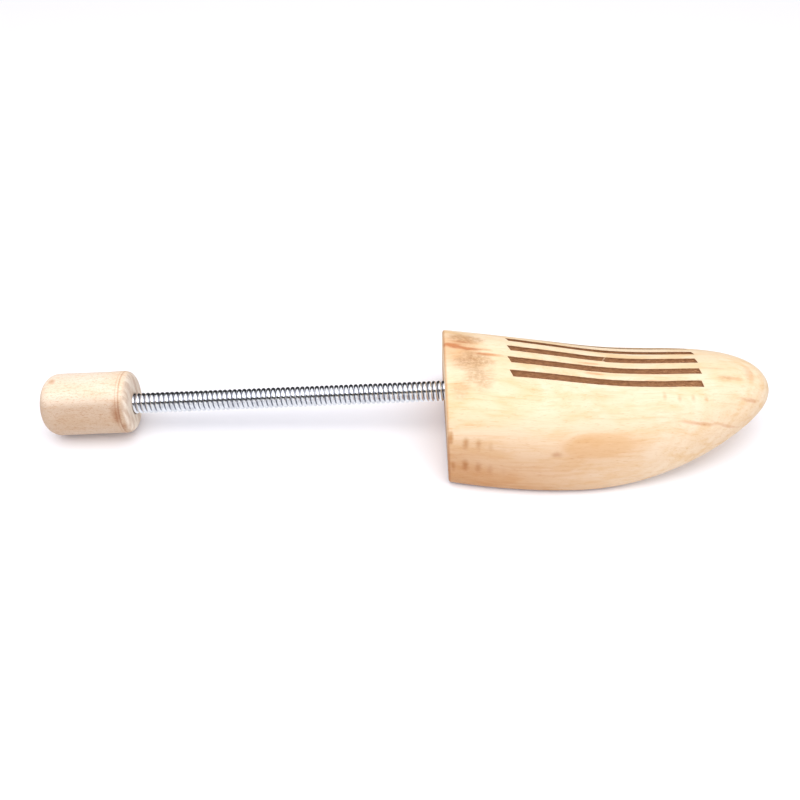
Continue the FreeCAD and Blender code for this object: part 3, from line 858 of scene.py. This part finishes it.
def knob_wood():
    """Turned pale hardwood with fine dark flecks and pale end grain."""
    finish = Finish("knob_wood")
    broad = finish.noise((0.04, 0.09, 0.09), 2.0, 0.5, 2.0)
    streak = finish.noise((0.05, 0.9, 0.35), 3.0, 0.6, 9.0)
    fleck = finish.noise((0.55, 2.1, 2.1), 2.0, 0.6, 15.0)
    pore = finish.noise((1.3, 3.4, 3.4), 1.0, 0.6, 27.0)
    colour = finish.mix(finish.steps(broad, 0.35, 0.66), linear(247, 230, 207),
                        linear(241, 218, 188))
    colour = finish.stain(colour, finish.steps(streak, 0.5, 0.74), 0.4, linear(236, 208, 178))
    colour = finish.stain(colour, finish.steps(fleck, 0.52, 0.7), 0.55, linear(226, 196, 164))
    colour = finish.stain(colour, finish.steps(pore, 0.58, 0.72), 0.55, linear(212, 176, 140))

    # painted shade: the turned side is paler where it lies uppermost and tanner below
    height = finish.vector("DOT_PRODUCT", finish.vector("SUBTRACT", finish.place, tuple(
        by_spring(np.array(KNOB_START), BORE_DROP))), tuple(ABOVE))
    below = finish.steps(height, 13.4, 7.4)
    colour = finish.stain(colour, below, 1.0, linear(203, 191, 182))

    # how far the surface lies behind the front face, and how much it faces along the axis
    from_front = finish.vector("DOT_PRODUCT", finish.vector(
        "SUBTRACT", finish.place, tuple(by_spring(np.array(KNOB_START)))), tuple(ALONG))
    turned = finish.math("ABSOLUTE", finish.vector("DOT_PRODUCT", finish.node(
        "ShaderNodeNewGeometry", {}).outputs["Normal"], tuple(ALONG)))
    # painted shade in the turned line where the dome meets the side
    line = finish.math("SUBTRACT", from_front, 3.25)
    line = finish.steps(finish.math("ABSOLUTE", line), 0.55, 0.1)
    colour = finish.stain(colour, line, 0.5, linear(208, 168, 136))
    collar = finish.steps(finish.math("ABSOLUTE", finish.math("SUBTRACT", from_front, 4.6)),
                          0.5, 0.1)
    colour = finish.stain(colour, collar, 0.3, linear(222, 178, 144))
    for centre, radii, strength in (
            ((-133.6, -8.6, 21.6), (3.6, 6.5, 7.5), 0.6),
            ((-164.9, 4.1, 29.0), (2.4, 2.4, 2.8), 0.6),
            ((-131.0, -10.2, 13.2), (1.5, 2.4, 3.4), 0.7),
            ((-133.4, -9.7, 19.4), (1.8, 4.5, 5.0), 0.45)):
        colour = finish.stain(colour, finish.spot(centre, radii, 0.95, 0.45, 0.2), strength,
                              linear(212, 168, 126))

    # end grain on the front and rear faces: upright layers, greyer
    layers = finish.noise((0.2, 0.5, 0.09), 3.0, 0.6, 33.0)
    end_colour = finish.mix(finish.steps(layers, 0.35, 0.66), linear(236, 224, 206),
                            linear(206, 182, 158))
    end_colour = finish.stain(end_colour, finish.steps(pore, 0.5, 0.7), 0.4,
                              linear(196, 172, 148))
    end = finish.steps(turned, 0.45, 0.85, 0.0, 0.9)
    near_front = finish.steps(from_front, 3.1, 1.8)
    colour = finish.mix(finish.math("MULTIPLY", end, near_front), colour, end_colour)
    # painted shade on the wall inside the bore
    bore = finish.math("MULTIPLY", finish.steps(from_front, 0.2, 1.0),
                       finish.steps(from_front, BORE_DEPTH + 2, BORE_DEPTH + 1))
    painted_bore_shade = finish.math("MULTIPLY", bore, finish.steps(finish.vector(
        "LENGTH", finish.vector("CROSS_PRODUCT", finish.vector("SUBTRACT", finish.place, tuple(
            by_spring(np.array(KNOB_START)))), tuple(ALONG))), 5.6, 4.9))
    colour = finish.stain(colour, painted_bore_shade, 0.8, linear(150, 110, 80))

    # painted shade where the knob lies on the ground: darker near the floor contact
    painted_contact_shade = finish.steps(finish.node("ShaderNodeSeparateXYZ", {
        "Vector": finish.place}).outputs["Z"], 3.2, 0.4)
    colour = finish.stain(colour, painted_contact_shade, 0.8, linear(140, 106, 84))

    relief = finish.total((fleck, 0.6), (pore, 0.6), (streak, 0.3))
    normal = finish.bump(relief, 0.05, 0.7)
    roughness = finish.steps(fleck, 0.3, 0.7, 0.5, 0.64)
    return finish.set(base_color=colour, roughness=roughness, normal=normal)


def spring_steel():
    """Bright plated wire with faint drawing marks and dulled patches."""
    finish = Finish("spring_steel")
    patch = finish.noise((0.35, 0.35, 0.35), 3.0, 0.6, 4.0)
    speck = finish.noise((2.4, 2.4, 2.4), 2.0, 0.6, 8.0)
    colour = finish.mix(finish.steps(patch, 0.4, 0.7), linear(232, 234, 240),
                        linear(214, 216, 224))
    colour = finish.stain(colour, finish.steps(speck, 0.62, 0.76), 0.35, linear(150, 148, 150))
    roughness = finish.math("ADD", finish.steps(patch, 0.35, 0.75, 0.07, 0.16),
                            finish.steps(speck, 0.6, 0.78, 0.0, 0.16))
    normal = finish.bump(speck, 0.006, 0.5)
    return finish.set(base_color=colour, metallic=1.0, roughness=roughness, normal=normal)


FINISHES = {"toe_wood": toe_wood(), "knob_wood": knob_wood(), "spring_steel": spring_steel()}
for entry in frame["record"]["subparts"]:
    node = frame["nodes"][entry["node"]]
    node.data.materials.clear()
    node.data.materials.append(FINISHES[entry["material_slot"]])
for piece in [toe_block, heel_knob] + spring_pieces:
    piece.data.materials.append(FINISHES[piece["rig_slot"]])

# ---------------------------------------------------------------- floor
FLOOR = 4.0                     # half the floor's width, in metres
floor_mesh = bpy.data.meshes.new("floor")
floor_mesh.from_pydata([(-FLOOR, -FLOOR, 0), (FLOOR, -FLOOR, 0), (FLOOR, FLOOR, 0),
                        (-FLOOR, FLOOR, 0)], [], [(0, 1, 2, 3)])
floor = bpy.data.objects.new("floor", floor_mesh)
bpy.context.scene.collection.objects.link(floor)
paper = bpy.data.materials.new("paper")
paper.use_nodes = True
paper_shader = paper.node_tree.nodes["Principled BSDF"]
paper_shader.inputs["Base Color"].default_value = (0.955, 0.955, 0.965, 1.0)
paper_shader.inputs["Roughness"].default_value = 0.9
paper_shader.inputs["Specular IOR Level"].default_value = 0.0
floor_mesh.materials.append(paper)
floor.visible_glossy = False     # the polished wire sees the studio below, not a lit floor

# ---------------------------------------------------------------- light
scene = bpy.context.scene
world = bpy.data.worlds.new("studio")
scene.world = world
world.use_nodes = True
nodes, links = world.node_tree.nodes, world.node_tree.links
dome = nodes["Background"]
dome.inputs["Color"].default_value = (0.93, 0.92, 1.0, 1.0)
dome.inputs["Strength"].default_value = 0.93
mirrored = nodes.new("ShaderNodeBackground")
direction = nodes.new("ShaderNodeTexCoord")
split = nodes.new("ShaderNodeSeparateXYZ")
links.new(direction.outputs["Generated"], split.inputs[0])
back = nodes.new("ShaderNodeMath")
back.operation = "MULTIPLY"
back.inputs[1].default_value = -1.0
links.new(split.outputs["Y"], back.inputs[0])
angle = nodes.new("ShaderNodeMath")
angle.operation = "ARCTAN2"
links.new(split.outputs["Z"], angle.inputs[0])
links.new(back.outputs[0], angle.inputs[1])
share = nodes.new("ShaderNodeMapRange")
share.inputs["From Min"].default_value = 0.0
share.inputs["From Max"].default_value = 2 * math.pi
full = nodes.new("ShaderNodeMath")
full.operation = "WRAP"
full.inputs[1].default_value = 2 * math.pi
full.inputs[2].default_value = 0.0
links.new(angle.outputs[0], full.inputs[0])
links.new(full.outputs[0], share.inputs["Value"])
ramp = nodes.new("ShaderNodeValToRGB")
# what a polished wire sees, by angle from the front, over the top and the back, to below
STUDIO = ((0.0, 0.95), (12.0, 0.85), (19.5, 0.02), (60.0, 0.02), (68.0, 1.35), (133.0, 1.25),
          (144.0, 0.05), (180.0, 0.04), (217.0, 0.05), (226.0, 0.8), (250.0, 1.05), (320.0, 1.05),
          (360.0, 0.95))
ramp.color_ramp.elements.remove(ramp.color_ramp.elements[1])
for index, (degrees, level) in enumerate(STUDIO):
    element = (ramp.color_ramp.elements[0] if index == 0
               else ramp.color_ramp.elements.new(degrees / 360))
    element.position = degrees / 360
    element.color = (level, level, level * 1.02, 1.0)
links.new(share.outputs["Result"], ramp.inputs["Fac"])
links.new(ramp.outputs["Color"], mirrored.inputs["Color"])
chooser = nodes.new("ShaderNodeMixShader")
ray = nodes.new("ShaderNodeLightPath")
links.new(ray.outputs["Is Glossy Ray"], chooser.inputs[0])
links.new(dome.outputs[0], chooser.inputs[1])
links.new(mirrored.outputs[0], chooser.inputs[2])
links.new(chooser.outputs[0], nodes["World Output"].inputs["Surface"])


def add_softbox(name, place, aim, size, power, colour):
    light = bpy.data.lights.new(name, "AREA")
    light.shape = "RECTANGLE"
    light.size, light.size_y = size
    light.energy = power
    light.color = colour
    lamp = bpy.data.objects.new(name, light)
    scene.collection.objects.link(lamp)
    lamp.location = place
    lamp.rotation_euler = (Vector(aim) - Vector(place)).to_track_quat("-Z", "Y").to_euler()
    return lamp


add_softbox("overhead", (0.0, -0.2, 0.83), (0.0, 0.0, 0.0), (1.2, 0.7), 4.2, (1.0, 0.985, 0.96))
add_softbox("front", (0.0, -0.8, 0.35), (0.0, 0.0, 0.0), (1.2, 0.3), 1.1, (1.0, 0.985, 0.96))

# ---------------------------------------------------------------- camera
AIM = np.array((-2.965, 4.25, 16.75))
AIM_DISTANCE = 432.98
ELEVATION, YAW, ROLL = math.radians(42.402), math.radians(-0.261), math.radians(-0.009)
ahead = np.array((-math.sin(YAW) * math.cos(ELEVATION), math.cos(YAW) * math.cos(ELEVATION),
                  -math.sin(ELEVATION)))
level_right = np.array((math.cos(YAW), math.sin(YAW), 0.0))
level_up = np.cross(level_right, ahead)
right = math.cos(ROLL) * level_right + math.sin(ROLL) * level_up
up = math.cos(ROLL) * level_up - math.sin(ROLL) * level_right
camera_data = bpy.data.cameras.new("camera")
camera_data.sensor_width = 36.0
camera_data.lens = 41.07
camera_data.clip_start = 0.01
camera_data.clip_end = 50.0
camera = bpy.data.objects.new("camera", camera_data)
scene.collection.objects.link(camera)
turned = Matrix([[right[n], up[n], -ahead[n]] for n in range(3)])
camera.matrix_world = Matrix.Translation((AIM - ahead * AIM_DISTANCE) * MM) @ turned.to_4x4()
scene.camera = camera

scene.view_settings.view_transform = "Standard"
